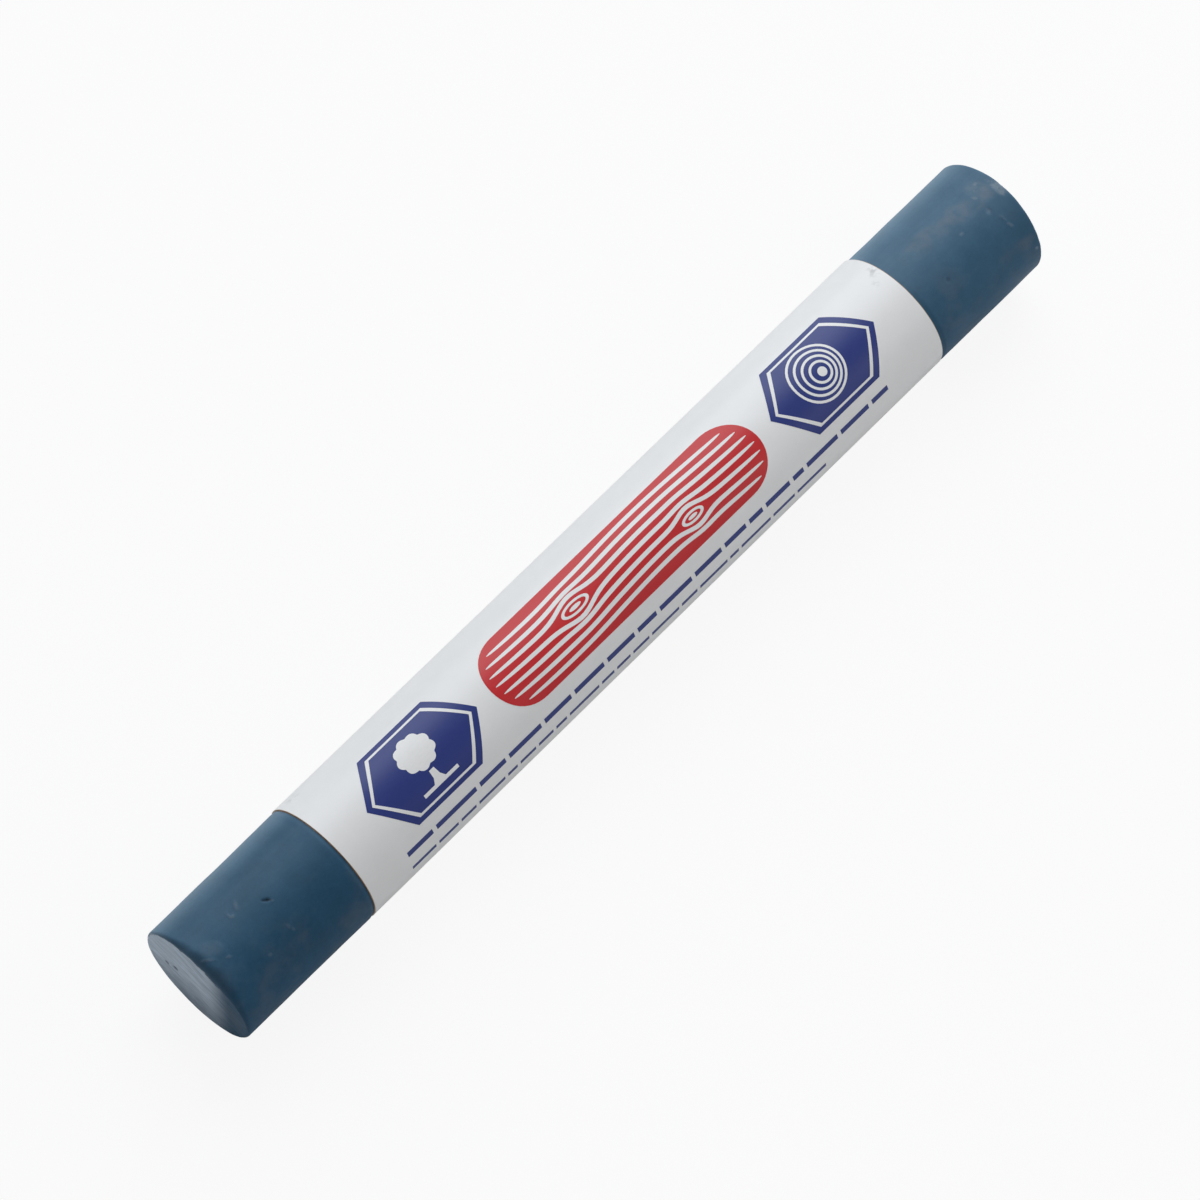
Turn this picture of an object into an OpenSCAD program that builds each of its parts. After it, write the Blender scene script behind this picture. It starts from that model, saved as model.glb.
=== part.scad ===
// Furniture repair wax stick: a round bar of coloured filler wax in a paper label.
// The label is self-adhesive. It goes once around the bar and laps over its own start at the back.
// The stick lies along X, with its near end at -X, its back at +Y and Z up, in millimetres.
// The origin is on the surface that the label rests on, midway along the bar.

/* [Wax bar] */
// Diameter of the wax bar
bar_d = 11.1; // [8:0.1:16]
// Length of the wax bar
bar_len = 93.8; // [60:0.1:140]
// Radius of the rounded rim at each end of the bar
rim_r = 0.6; // [0.2:0.05:2]

/* [Label] */
// Bare wax between the near end and the label
near_bare = 14.1; // [3:0.1:25]
// Bare wax between the label and the far end
far_bare = 12.7; // [3:0.1:25]
// Thickness of the label's paper
paper_t = 0.1; // [0.06:0.01:0.25]
// Thickness of the adhesive coat on the back of the paper
adhesive_t = 0.03; // [0.02:0.005:0.08]
// Width of the strip where the label laps over its own start
lap_w = 4; // [1.5:0.1:8]
// Angle where the label leaves the bar for its lap, from straight down round towards the back
lap_foot_deg = 13; // [13:1:120]
// Width of the strip along the underside where the paper is pressed flat by lying
rest_flat_w = 1.4; // [1:0.1:1.8]

/* [Hidden] */
$fn = 180;

bar_r = bar_d / 2;
label_len = bar_len - near_bare - far_bare;
// Inner and outer radius of the paper where it lies on the bar
paper_r = bar_r + adhesive_t;
label_r = paper_r + paper_t;
// Height by which the lap is lifted over the start of the label
lift = adhesive_t + paper_t;
// Angle over which the label runs along a tangent to clear its own start
tent_deg = acos(bar_r / (bar_r + lift));
// Angle that the lap covers
lap_deg = lap_w / (label_r + lift) * 180 / PI;
// Height of the bar's axis over the surface, with the label on its flat strip
axis_h = sqrt(pow(label_r, 2) - pow(rest_flat_w / 2, 2));
// Reach of the straight cuts through the label's section, past its outer face
cut_reach = 2 * (label_r + lift);

// Lays a piece that stands on Z down along X, at the height of the bar's axis
module lay_down() {
    translate([-bar_len / 2, 0, axis_h]) rotate([0, 90, 0]) children();
}

// Space under the surface that the stick rests on
module below_surface() {
    translate([-bar_len / 2, -cut_reach, -cut_reach]) cube([bar_len, 2 * cut_reach, cut_reach]);
}

// Half section of the bar, from its axis outwards, with both rims rounded
module bar_half_section() {
    square([bar_r - rim_r, bar_len]);
    translate([0, rim_r]) square([bar_r, bar_len - 2 * rim_r]);
    for (rim_z = [rim_r, bar_len - rim_r]) {
        translate([bar_r - rim_r, rim_z]) circle(rim_r);
    }
}

// Wedge of a section from the tent's foot, on X, through an anticlockwise angle under 180 degrees
module wedge(angle_deg) {
    intersection() {
        translate([-cut_reach, 0]) square([2 * cut_reach, cut_reach]);
        rotate(angle_deg) translate([-cut_reach, -cut_reach]) square([2 * cut_reach, cut_reach]);
    }
}

// Area inside one face of the label where it climbs a tangent from the bar to the lap
module lapped_face(face_r) {
    intersection() {
        circle(face_r + lift);
        translate([face_r - 2 * cut_reach, -cut_reach]) square(2 * cut_reach);
    }
}

// One layer of the label: a turn around the bar, then the tent over its own start and the lap
module label_layer(inner_r, layer_t) {
    outer_r = inner_r + layer_t;
    translate([0, 0, near_bare]) rotate(lap_foot_deg) linear_extrude(label_len) {
        difference() {
            circle(outer_r);
            circle(inner_r);
            wedge(tent_deg);
        }
        intersection() {
            difference() {
                lapped_face(outer_r);
                lapped_face(inner_r);
            }
            wedge(tent_deg + lap_deg);
        }
    }
}

// Solid bar of filler wax
module wax_stick() {
    color([0.24, 0.36, 0.45]) lay_down() rotate_extrude() bar_half_section();
}

// Adhesive coat between the bar and the paper, and under the lap
module label_adhesive() {
    color([0.72, 0.60, 0.42]) lay_down() label_layer(bar_r, adhesive_t);
}

// Paper of the label, with its print side out and its underside pressed flat
module paper_label() {
    color([0.93, 0.93, 0.94]) difference() {
        lay_down() label_layer(paper_r, paper_t);
        below_surface();
    }
}

wax_stick();
label_adhesive();
paper_label();
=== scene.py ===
"""Looks of a furniture repair wax stick: a blue-grey wax bar in a printed paper label."""
import math
from collections import namedtuple

import bmesh
import bpy
from bpy.props import FloatProperty, FloatVectorProperty, IntProperty, PointerProperty
from bpy.types import NodeSocket, Operator, Panel, PropertyGroup
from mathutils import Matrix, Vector


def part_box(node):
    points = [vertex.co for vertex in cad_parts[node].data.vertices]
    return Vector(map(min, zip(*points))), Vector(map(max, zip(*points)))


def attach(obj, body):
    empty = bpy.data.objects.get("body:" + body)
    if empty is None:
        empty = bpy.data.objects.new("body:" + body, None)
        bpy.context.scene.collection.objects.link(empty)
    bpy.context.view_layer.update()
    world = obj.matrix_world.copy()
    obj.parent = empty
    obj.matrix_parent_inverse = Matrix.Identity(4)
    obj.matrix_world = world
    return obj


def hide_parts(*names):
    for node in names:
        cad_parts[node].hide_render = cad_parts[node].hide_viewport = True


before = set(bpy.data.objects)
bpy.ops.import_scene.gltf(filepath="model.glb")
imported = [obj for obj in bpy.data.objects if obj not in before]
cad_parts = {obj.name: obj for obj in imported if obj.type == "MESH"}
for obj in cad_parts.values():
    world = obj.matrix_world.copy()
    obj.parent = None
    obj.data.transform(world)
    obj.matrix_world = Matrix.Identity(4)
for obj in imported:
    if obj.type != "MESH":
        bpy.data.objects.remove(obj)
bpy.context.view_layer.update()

bl_info = {
    "name": "Furniture repair wax stick",
    "version": (1, 0, 0),
    "blender": (4, 5, 0),
    "location": "View3D > Sidebar > Wax stick",
    "description": "Dresses the packed wax stick with its wax surface, rolled label, print and studio",
    "category": "Add Mesh",
}

MM = 0.001
TAU = 2 * math.pi

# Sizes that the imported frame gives, in metres
BAR_LOW, BAR_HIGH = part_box("wax_stick")
LABEL_LOW, LABEL_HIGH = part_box("paper_label")
BAR_R = (BAR_HIGH.z - BAR_LOW.z) / 2
AXIS_H = (BAR_HIGH.z + BAR_LOW.z) / 2
LABEL_R = -LABEL_LOW.y

# A mark on the bare wax, in millimetres and degrees. Turn is from the top of the bar towards the front, lean
# is from the bar's axis towards the front, and the last three say how rubbed, how grimy and how dark it is,
# the dark being painted shade in a dent.
Mark = namedtuple("Mark", "place turn length width lean depth pale grime dark", defaults=(0, 0, 0, 0, 0))
MARKS = (
    # A dent, painted dark as shade in its hollow
    Mark(-39.6, 7.3, 0.9, 0.3, lean=40, depth=0.1, dark=0.8),
    # A pale lip beside that dent: a painted highlight
    Mark(-39.35, 10.0, 0.5, 0.28, lean=40, depth=-0.03, pale=0.22),
    Mark(-41.5, -7.5, 1.2, 0.36, lean=-60, depth=-0.02, pale=0.14),
    Mark(-42.5, -5.2, 0.9, 0.3, lean=85, depth=-0.02, pale=0.18),
    Mark(-42.3, -2.4, 0.5, 0.28, lean=-40, depth=-0.02, pale=0.16),
    Mark(-39.65, 37.0, 1.0, 0.4, lean=75, depth=-0.02, pale=0.2),
    Mark(-42.3, 41.0, 0.5, 0.4, pale=0.14),
    Mark(-45.5, 3.5, 2.6, 1.6, lean=45, depth=-0.03, pale=0.09),
    Mark(-46.15, 10.0, 1.6, 0.3, lean=41, depth=-0.05, pale=0.25),
    Mark(-44.9, 18.7, 0.6, 0.3, lean=19, depth=-0.03, pale=0.18),
    Mark(46.45, 3.0, 2.4, 1.0, lean=88, depth=0.04, pale=0.55),
    Mark(45.2, -5.5, 3.0, 2.4, lean=70, depth=0.02, pale=0.12, grime=0.42),
    Mark(45.5, -12.0, 0.5, 0.4, pale=0.3),
    Mark(44.4, -3.0, 0.8, 0.4, lean=60, pale=0.26),
    Mark(44.2, 4.4, 2.0, 1.4, grime=0.4),
    Mark(44.35, 13.1, 0.9, 0.5, lean=-50, depth=0.06, pale=0.2),
    Mark(44.85, 25.9, 1.0, 0.34, lean=75, depth=-0.02, pale=0.22),
    Mark(44.95, 34.3, 0.8, 0.34, lean=70, depth=-0.02, pale=0.2),
    Mark(42.8, -2.0, 4.6, 2.4, lean=8, pale=0.08, grime=0.44),
    Mark(38.8, -5.8, 7.6, 2.5, pale=0.05, grime=0.38),
    Mark(41.2, 11.7, 0.5, 0.44, pale=0.45),
    Mark(46.1, 71.7, 0.5, 0.44, pale=0.6),
    Mark(45.3, 57.6, 2.4, 2.0, grime=0.42),
    # A small dent, painted dark as shade in its hollow
    Mark(37.55, 31.0, 0.5, 0.4, depth=0.03, dark=0.3),
)
# Marks wider than this, in millimetres, are patches with a soft outline
PATCH_WIDTH = 1.0

# Pits in the near end face: distance to the back and height over the bar's axis, in millimetres
Pit = namedtuple("Pit", "back height width depth")
PITS = (
    Pit(back=3.45, height=-0.9, width=0.5, depth=0.15),
    Pit(back=2.5, height=-0.55, width=0.65, depth=0.18),
)
# How dark the pits are painted, as shade in their hollows
PIT_SHADE = 0.8

# Angles from straight down, round by the back: the near end's worn side and the far end's high side
NEAR_WORN_TURN = math.radians(202.0)
FAR_HIGH_TURN = math.radians(187.0)

# Streaks of the saw in the ends: lean of the cut from level, how far they are drawn out along it, and depth
SAW_LEAN = math.radians(18.5)
SAW_STRETCH = 0.15
SAW_DEPTH = 0.1 * MM

# Distances from the label's edges where the wax starts to be uneven and where it fully is
UNEVEN_START = 0.09 * MM
UNEVEN_FULL = 0.5 * MM

# Length of the near end's swelling
FLARE_LENGTH = 7 * MM

# Distance under which the turned mesh is welded along its seam and at its poles
SEAM_WELD = 0.0005 * MM

# Edges of a piece that bend more than this stay sharp
SHARP_EDGE = math.radians(50)


def length_property(label, text, default):
    """A size in metres that the sidebar shows in the scene's units."""
    return FloatProperty(
        name=label,
        description=text,
        default=default,
        unit="LENGTH",
        subtype="DISTANCE",
        precision=5,
    )


def angle_property(label, text, degrees):
    """An angle that the sidebar shows in degrees."""
    return FloatProperty(
        name=label, description=text, default=math.radians(degrees), unit="ROTATION", subtype="ANGLE"
    )


def power_property(label, text, default):
    """A lamp's power in watts."""
    return FloatProperty(name=label, description=text, default=default, min=0.0, unit="POWER")


def colour_property(label, text, default):
    """A colour in linear light."""
    return FloatVectorProperty(
        name=label, description=text, default=default, subtype="COLOR", size=3, min=0.0, max=1.0
    )


class WaxBarSettings(PropertyGroup):
    """Sizes and colours of the wax bar."""

    rim_radius: length_property("Rim radius", "Rounding between the side and the ends", 0.24 * MM)
    rim_wobble: FloatProperty(
        name="Rim wobble",
        description="Share by which the rounding varies round the bar",
        default=0.5,
        min=0.0,
        max=0.8,
    )
    near_wear: length_property("Near wear", "More rounding at the worn side of the near end", 0.7 * MM)
    far_slope: length_property("Far slope", "Fall of the far end away from its high side", 0.3 * MM)
    near_flare: length_property("Near flare", "Swelling of the near end towards the label", 0.05 * MM)
    near_sag: length_property("Near sag", "Shift of the bare near end towards the front", 0.05 * MM)
    far_sag: length_property("Far sag", "Shift of the bare far end towards the front", 0.09 * MM)
    lump_height: length_property("Lump height", "Height of the soft lumps on the bare wax", 0.045 * MM)
    lump_size: length_property("Lump size", "Distance between soft lumps", 4.5 * MM)
    wax_colour: colour_property("Wax", "Colour of the pigmented wax", (0.018, 0.071, 0.136))
    bloom_colour: colour_property("Bloom", "Colour of the pale bloom on the wax", (0.18, 0.33, 0.48))
    # Colours of the painted sheen: the back lamp's reflection along the back and over the upper side of the
    # wax
    painted_back_sheen_colour: colour_property("Haze", "Colour of the haze along the back of the wax", (0.3, 0.45, 0.58))
    painted_upper_sheen_colour: colour_property("Mist", "Colour of the thin mist over the upper wax", (0.3, 0.4, 0.48))
    # Pale colour of the cut ends: dust, and a painted reflection of the pale surroundings
    dust_and_sheen_colour: colour_property("Dust", "Colour of the dusty cut on the ends", (0.62, 0.73, 0.86))
    # Colour of rubbed places, also used for one painted highlight at a dent's lip
    scuff_and_highlight_colour: colour_property("Scuff", "Colour of rubbed and smeared places", (0.33, 0.37, 0.42))
    grime_colour: colour_property("Grime", "Colour of handled and grimy places", (0.2, 0.185, 0.19))


class LabelSettings(PropertyGroup):
    """Sizes and colours of the paper label and its adhesive."""

    near_edge: length_property("Near edge", "Place of the label's near edge along the bar", LABEL_LOW.x)
    far_edge: length_property("Far edge", "Place of the label's far edge along the bar", LABEL_HIGH.x)
    adhesive_top: length_property("Adhesive top", "Height of the adhesive's face over the wax", 0.022 * MM)
    paper_top: length_property("Paper top", "Height of the paper's printed face over the wax", 0.105 * MM)
    lap_width: length_property("Lap width", "Width of the label's lap over its own start", 4.0 * MM)
    lap_foot: angle_property("Lap foot", "Angle from straight down to where the label leaves the bar", 13.0)
    creep: length_property("Adhesive creep", "Width of the adhesive past the paper's edge", 0.07 * MM)
    wave_height: length_property("Wave height", "Height of the soft waves in the paper", 0.006 * MM)
    wave_size: length_property("Wave size", "Distance between the soft waves", 6.0 * MM)
    paper_colour: colour_property("Paper", "Colour of the unprinted paper", (0.81, 0.815, 0.83))
    edge_colour: colour_property("Paper edge", "Colour of the cut edges of the paper", (0.62, 0.5, 0.4))
    adhesive_colour: colour_property("Adhesive", "Colour of the adhesive line", (0.3, 0.17, 0.09))


class PrintSettings(PropertyGroup):
    """Sizes and colours of the print on the label."""

    middle_turn: angle_property("Middle", "Angle from the top of the bar to the middle of the print", 14.0)
    ink_top: length_property("Ink top", "Height of the inked face over the wax", 0.115 * MM)
    ink_depth: length_property("Ink depth", "Depth of the inked layer, sunk in the paper", 0.016 * MM)
    band_place: length_property("Band place", "Middle of the red band along the bar", 0.6 * MM)
    band_length: length_property("Band length", "Length of the red band", 31.0 * MM)
    band_width: length_property("Band width", "Width of the red band round the bar", 6.8 * MM)
    badge_reach: length_property("Badge reach", "Distance from the band's middle to a badge's", 23.4 * MM)
    badge_length: length_property("Badge length", "Length of a blue badge", 12.4 * MM)
    badge_width: length_property("Badge width", "Width of a blue badge round the bar", 7.4 * MM)
    red_colour: colour_property("Red ink", "Colour of the red print", (0.56, 0.018, 0.024))
    blue_colour: colour_property("Blue ink", "Colour of the blue print", (0.017, 0.034, 0.2))
    row_seed: IntProperty(name="Row seed", description="Seed of the dashes in the fine rows", default=5)


class StageSettings(PropertyGroup):
    """Camera, lamps and floor."""

    azimuth: angle_property("Azimuth", "Turn of the camera round the stick", -47.25)
    elevation: angle_property("Elevation", "Height of the camera over the horizon", 63.83)
    distance: length_property("Distance", "Distance from the camera to its target", 474.7 * MM)
    target: FloatVectorProperty(
        name="Target",
        description="Point that the camera looks at",
        default=(-1.23 * MM, -0.32 * MM, AXIS_H),
        subtype="TRANSLATION",
        unit="LENGTH",
        size=3,
    )
    lens: FloatProperty(name="Lens", description="Focal length in millimetres", default=178.0, min=1)
    key_power: power_property("Key power", "Power of the lamp at the back", 6.5)
    fill_power: power_property("Fill power", "Power of the lamp at the front", 0.7)
    room_light: FloatProperty(name="Room light", description="Strength of the room's light", default=0.28)
    floor_colour: colour_property("Floor", "Colour of the pale floor", (0.75, 0.75, 0.75))


def arithmetic(operation):
    """Two methods that put a Math node between a field and a value, in either order."""

    def onwards(self, other):
        return self.graph.math(operation, self, other)

    def backwards(self, other):
        return self.graph.math(operation, other, self)

    return onwards, backwards


class Field:
    """A value inside a node tree, which plain arithmetic extends with Math nodes."""

    def __init__(self, graph, socket):
        self.graph = graph
        self.socket = socket

    __add__, __radd__ = arithmetic("ADD")
    __sub__, __rsub__ = arithmetic("SUBTRACT")
    __mul__, __rmul__ = arithmetic("MULTIPLY")
    __truediv__, __rtruediv__ = arithmetic("DIVIDE")


class Graph:
    """Adds nodes to one node tree and links them."""

    def __init__(self, tree):
        self.tree = tree

    def feed(self, socket, value):
        """Links a value to a socket, or sets a plain value on it."""
        if isinstance(value, Field):
            value = value.socket
        if isinstance(value, NodeSocket):
            self.tree.links.new(value, socket)
        else:
            socket.default_value = value

    def node(self, kind, inputs=(), **settings):
        """Adds a node. Inputs are pairs of a socket's name or number and its value."""
        made = self.tree.nodes.new(kind)
        for name, value in settings.items():
            setattr(made, name, value)
        for key, value in inputs:
            self.feed(made.inputs[key], value)
        return made

    def field(self, kind, inputs=(), output=0, **settings):
        """Adds a node and gives one of its outputs as a field."""
        return Field(self, self.node(kind, inputs, **settings).outputs[output])

    def math(self, operation, *values):
        """Adds a Math node."""
        return self.field("ShaderNodeMath", enumerate(values), operation=operation)

    def ramp(self, value, low, high, interpolation="SMOOTHSTEP"):
        """Goes from 0 where the value is low to 1 where it is high."""
        inputs = (("Value", value), ("From Min", low), ("From Max", high))
        return self.field("ShaderNodeMapRange", inputs, interpolation_type=interpolation)

    def split(self, vector):
        """The three parts of a vector."""
        parts = self.node("ShaderNodeSeparateXYZ", [("Vector", vector)])
        return [Field(self, output) for output in parts.outputs]

    def vector(self, x, y, z):
        """A vector from its three parts."""
        return self.field("ShaderNodeCombineXYZ", [("X", x), ("Y", y), ("Z", z)])

    def noise(self, vector, size, detail=2.0, roughness=0.5):
        """Smooth noise from 0 to 1 with forms of about that size."""
        inputs = (("Vector", vector), ("Scale", 1.0 / size), ("Detail", detail), ("Roughness", roughness))
        return self.field("ShaderNodeTexNoise", inputs)

    def mix(self, share, first, second):
        """A colour between two colours."""
        return self.field("ShaderNodeMix", ((0, share), (6, first), (7, second)), output=2, data_type="RGBA")


def rgba(colour, level=1.0):
    """A colour's four parts, at a level of brightness."""
    return (*(min(1.0, part * level) for part in colour), 1.0)


def new_finish(name, roughness, specular):
    """A new material with its graph and its shader."""
    finish = bpy.data.materials.new(name)
    finish.use_nodes = True
    graph = Graph(finish.node_tree)
    shader = finish.node_tree.nodes["Principled BSDF"]
    shader.inputs["Roughness"].default_value = roughness
    shader.inputs["Specular IOR Level"].default_value = specular
    return finish, graph, shader


def dress(graph, shader, colour, roughness, relief, depth, strength):
    """Gives a shader its colour, its roughness and a fine relief."""
    graph.feed(shader.inputs["Base Color"], colour)
    graph.feed(shader.inputs["Roughness"], roughness)
    bump = graph.node("ShaderNodeBump", (("Height", relief), ("Distance", depth), ("Strength", strength)))
    graph.feed(shader.inputs["Normal"], bump.outputs["Normal"])


def surface_place(graph):
    """Where a point of the surface lies in the piece's own frame."""
    return graph.field("ShaderNodeTexCoord", output="Object")


def named_value(graph, name):
    """A number that the mesh carries at each point."""
    return graph.field("ShaderNodeAttribute", output="Fac", attribute_name=name)


def saw_streaks(graph, place, size):
    """Streaks of a cut across the ends of the bar, from 0 to 1."""
    x, y, z = graph.split(place)
    along_cut = y * math.cos(SAW_LEAN) + z * math.sin(SAW_LEAN)
    across_cut = z * math.cos(SAW_LEAN) - y * math.sin(SAW_LEAN)
    return graph.noise(graph.vector(x, along_cut * SAW_STRETCH, across_cut), size, 4, 0.6)


def wax_finish(bar):
    """Satin pigmented wax with a pale bloom, painted sheen on its upper back, rubbed and handled places,
    painted shade in dents and pits, and dusty cut ends under a painted reflection.
    """
    finish, graph, shader = new_finish("filler_wax", 0.5, 0.12)
    shader.inputs["Specular Tint"].default_value = (0.75, 0.93, 1.0, 1.0)
    place = surface_place(graph)
    dust_and_sheen, scuff_and_highlight, grime, dent_shade = [named_value(graph, name) for name in ("dust_and_sheen", "scuff_and_highlight", "grime", "dent_shade")]
    x, y, z = graph.split(place)
    cloud = graph.noise(place, 9 * MM, 2)
    mottle = graph.noise(place, 2.4 * MM, 4, 0.6)
    grain = graph.noise(place, 0.22 * MM, 3, 0.6)
    film = graph.noise(graph.vector(x, y, z + 30 * MM), 3.2 * MM, 3, 0.6)
    smear = graph.noise(graph.vector(x, y, z + 60 * MM), 0.9 * MM, 3, 0.6)
    streak = graph.noise(graph.vector(x * 0.06, y, z), 0.5 * MM, 3, 0.6)
    saw = saw_streaks(graph, place, 0.4 * MM)
    tone = 0.5 + (cloud - 0.5) * 0.7 + (mottle - 0.5) * 0.8 + (grain - 0.5) * 0.6
    colour = graph.mix(tone, rgba(bar.wax_colour, 0.74), rgba(bar.wax_colour, 1.26))
    # Pale films: bloom towards the far end; then painted sheen for the back lamp's reflection, along the back
    # and more thinly over the upper side, a little stronger towards the far end
    towards_far = graph.ramp(x, -20 * MM, 38 * MM)
    bloom = (0.02 + towards_far * 0.11) * (0.6 + mottle * 0.8)
    colour = graph.mix(bloom, colour, rgba(bar.bloom_colour))
    upper = graph.ramp(z, AXIS_H - 3 * MM, AXIS_H + 1 * MM)
    painted_back_sheen = graph.ramp(y, 2.2 * MM, 5.4 * MM) * upper * (0.7 + mottle * 0.4 + (grain - 0.5) * 0.4)
    colour = graph.mix(painted_back_sheen * 0.42, colour, rgba(bar.painted_back_sheen_colour))
    painted_upper_sheen = graph.ramp(y, -3.6 * MM, 0.6 * MM) * upper * (0.7 + mottle * 0.4 + (streak - 0.5) * 0.5)
    painted_upper_sheen = painted_upper_sheen * (0.1 + towards_far * 0.05)
    colour = graph.mix(painted_upper_sheen, colour, rgba(bar.painted_upper_sheen_colour))
    # Handled and rubbed places, with uneven outlines; at one dent's lip the pale colour is a painted
    # highlight
    patchy = graph.ramp(smear * 0.7 + mottle * 0.3, 0.32, 0.62)
    soft_patch = graph.ramp(film * 0.6 + smear * 0.4, 0.3, 0.65)
    touched = graph.ramp(film, 0.42, 0.72) * (0.05 + graph.ramp(y, -1 * MM, -4 * MM) * 0.09)
    handled = graph.math("MAXIMUM", grime * soft_patch * 0.55, touched)
    colour = graph.mix(handled, colour, rgba(bar.grime_colour))
    rubbed_and_highlight = scuff_and_highlight * patchy
    colour = graph.mix(rubbed_and_highlight, colour, rgba(bar.scuff_and_highlight_colour))
    # Dust on the cut ends, with a painted reflection of the pale floor over it; it thins at the front and at
    # the foot of the near one as painted shade, where the reflected floor lies in the stick's shadow
    painted_shade_spread = 0.08 + graph.ramp(y, -3.6 * MM, -0.8 * MM) * 0.92
    painted_shade_spread = painted_shade_spread * (0.6 + graph.ramp(z, AXIS_H - 4.5 * MM, AXIS_H) * 0.4)
    painted_shade_spread = graph.math("MAXIMUM", painted_shade_spread, graph.ramp(x, 0.0, 1 * MM) * 0.8)
    dusty = dust_and_sheen * painted_shade_spread * (0.85 + (saw - 0.5) * 1.2 + (mottle - 0.5) * 0.4)
    colour = graph.mix(dusty, colour, rgba(bar.dust_and_sheen_colour))
    # Painted shade in the dents and pits: the wax darkened to a seventh
    colour = graph.mix(dent_shade, colour, rgba(bar.wax_colour, 0.14))
    rough = 0.48 + (mottle - 0.5) * 0.22 + (grain - 0.5) * 0.08 + dust_and_sheen * 0.12 + rubbed_and_highlight * 0.1
    relief = grain * 0.35 + streak * (1 - dust_and_sheen) * 0.4 + saw * dust_and_sheen * 1.4
    dress(graph, shader, colour, rough, relief, depth=0.02 * MM, strength=0.7)
    return finish


# Small grey smudges on the paper, in millimetres and degrees, with turn from the top towards the front
Smudge = namedtuple("Smudge", "place turn width strength")
SMUDGES = (
    Smudge(place=33.7, turn=-18.9, width=0.9, strength=0.5),
    Smudge(place=32.9, turn=-8.0, width=0.5, strength=0.25),
    Smudge(place=-31.5, turn=-52.0, width=1.0, strength=0.25),
)


def spot(graph, place, along, turn, width):
    """A soft round spot on the label: 1 in its middle and 0 past its width."""
    middle = (along, -LABEL_R * math.sin(turn), AXIS_H + LABEL_R * math.cos(turn))
    inputs = ((0, place), (1, middle))
    distance = graph.field("ShaderNodeVectorMath", inputs, output="Value", operation="DISTANCE")
    return graph.ramp(distance, width, 0.0)


def paper_finish(label):
    """Semi-gloss white paper with faint fibres, soft greying and bare cut edges."""
    finish, graph, shader = new_finish("label_paper", 0.4, 0.42)
    place = surface_place(graph)
    x, y, z = graph.split(place)
    cloud = graph.noise(place, 12 * MM, 3)
    mottle = graph.noise(place, 1.8 * MM, 3, 0.6)
    fibre = graph.noise(graph.vector(x * 0.3, y, z), 0.16 * MM, 3, 0.6)
    tone = 0.5 + (cloud - 0.5) * 0.8 + (mottle - 0.5) * 0.7 + (fibre - 0.5) * 0.3
    colour = graph.mix(tone, rgba(label.paper_colour, 0.965), rgba(label.paper_colour, 1.035))
    edge = named_value(graph, "cut_edge")
    colour = graph.mix(edge * 0.8, colour, rgba(label.edge_colour))
    patchy = graph.ramp(graph.noise(place, 0.4 * MM, 3), 0.4, 0.62)
    for along, turn, width, strength in SMUDGES:
        smudge = spot(graph, place, along * MM, math.radians(turn), width * MM) * patchy
        colour = graph.mix(smudge * strength, colour, rgba(label.paper_colour, 0.4))
    rough = 0.4 + (cloud - 0.5) * 0.1 + (fibre - 0.5) * 0.1
    dress(graph, shader, colour, rough, fibre, depth=0.004 * MM, strength=0.6)
    return finish


def ink_finish(name, colour):
    """Semi-gloss printing ink with the faint unevenness of a pressed solid."""
    finish, graph, shader = new_finish(name, 0.38, 0.42)
    place = surface_place(graph)
    x, y, z = graph.split(place)
    cloud = graph.noise(place, 8 * MM, 3)
    press = graph.noise(graph.vector(x * 0.4, y, z), 0.2 * MM, 3, 0.65)
    tone = 0.5 + (cloud - 0.5) * 0.7 + (press - 0.5) * 0.5
    inked = graph.mix(tone, rgba(colour, 0.9), rgba(colour, 1.1))
    dress(graph, shader, inked, 0.38 + (press - 0.5) * 0.14, press, depth=0.003 * MM, strength=0.5)
    return finish


def adhesive_finish(label):
    """Tacky amber coat that has picked up dust unevenly."""
    finish, graph, shader = new_finish("adhesive", 0.35, 0.5)
    place = surface_place(graph)
    patch = graph.noise(place, 1.5 * MM, 3, 0.6)
    dusty, clean = rgba(label.adhesive_colour, 0.6), rgba(label.adhesive_colour, 1.3)
    graph.feed(shader.inputs["Base Color"], graph.mix(graph.ramp(patch, 0.3, 0.7), dusty, clean))
    graph.feed(shader.inputs["Roughness"], 0.3 + patch * 0.2)
    return finish


def new_tree(name, sizes):
    """A new geometry tree with an input for each size: the tree, its graph, input fields and output node."""
    tree = bpy.data.node_groups.new(name, "GeometryNodeTree")
    kinds = {"Geometry": "Geometry", "Material": "Material"}
    for label, size in sizes.items():
        kinds[label] = "Int" if isinstance(size, int) else "Float"
    for label, kind in kinds.items():
        tree.interface.new_socket(label, in_out="INPUT", socket_type="NodeSocket" + kind)
    tree.interface.new_socket("Geometry", in_out="OUTPUT", socket_type="NodeSocketGeometry")
    graph = Graph(tree)
    entry = graph.node("NodeGroupInput")
    fields = {socket.name: Field(graph, socket) for socket in entry.outputs if socket.name}
    return tree, graph, fields, graph.node("NodeGroupOutput")


def close_tree(graph, leave, geometry, material):
    """Ends a tree in Realize Instances and Set Material."""
    whole = graph.field("GeometryNodeRealizeInstances", [("Geometry", geometry)])
    dressed = graph.field("GeometryNodeSetMaterial", (("Geometry", whole), ("Material", material)))
    graph.feed(leave.inputs["Geometry"], dressed)


def store(graph, geometry, name, value):
    """Keeps a number at each point of the geometry under a name."""
    inputs = (("Geometry", geometry), ("Name", name), ("Value", value))
    return graph.field("GeometryNodeStoreNamedAttribute", inputs, data_type="FLOAT", domain="POINT")


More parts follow.
